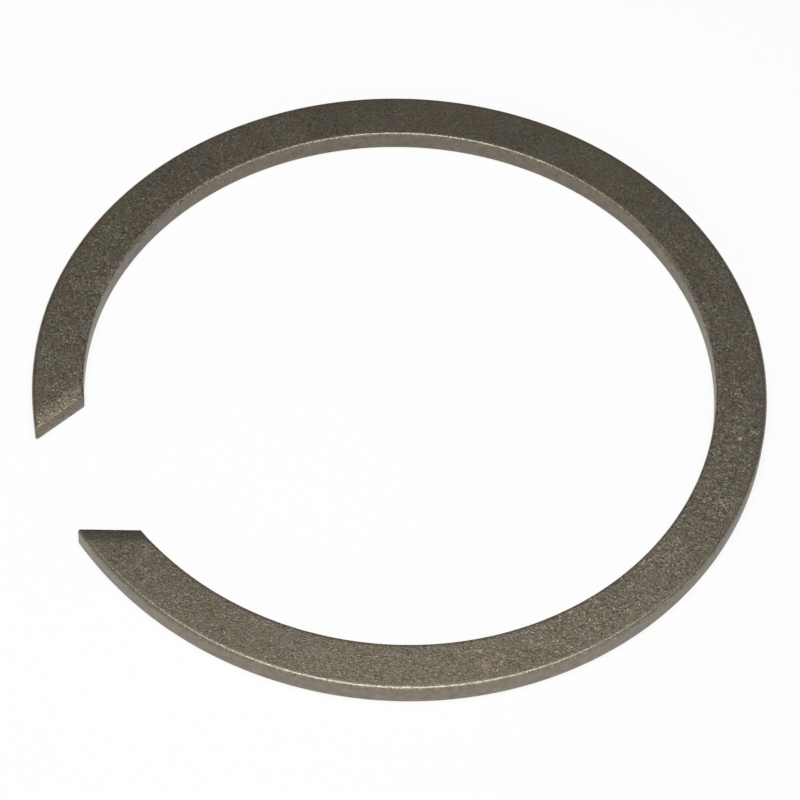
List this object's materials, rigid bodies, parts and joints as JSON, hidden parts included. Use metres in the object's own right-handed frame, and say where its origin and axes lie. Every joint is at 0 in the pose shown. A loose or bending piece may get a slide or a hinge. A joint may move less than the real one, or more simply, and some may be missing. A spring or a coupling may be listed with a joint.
{
  "type": "external snap ring",
  "caption": "Flat open spring steel ring with dovetail ends, snapped into a shaft groove to hold a bearing or gear endways.",
  "frame": {"origin": "on the ring's axis, level with the face that it rests on", "axes": "+Z along the ring's axis, up from the face that it rests on; the gap opens towards -Y; +X is to the right when the gap faces the viewer"},
  "size_m": [0.08, 0.0793, 0.0025],
  "materials": {
    "spring_steel": "hardened spring steel, tumbled to a fine dark grey-brown grain, lightly burnished along the edges"
  },
  "bodies": {
    "root": {"snap_ring": "spring_steel"}
  },
  "joints": []
}
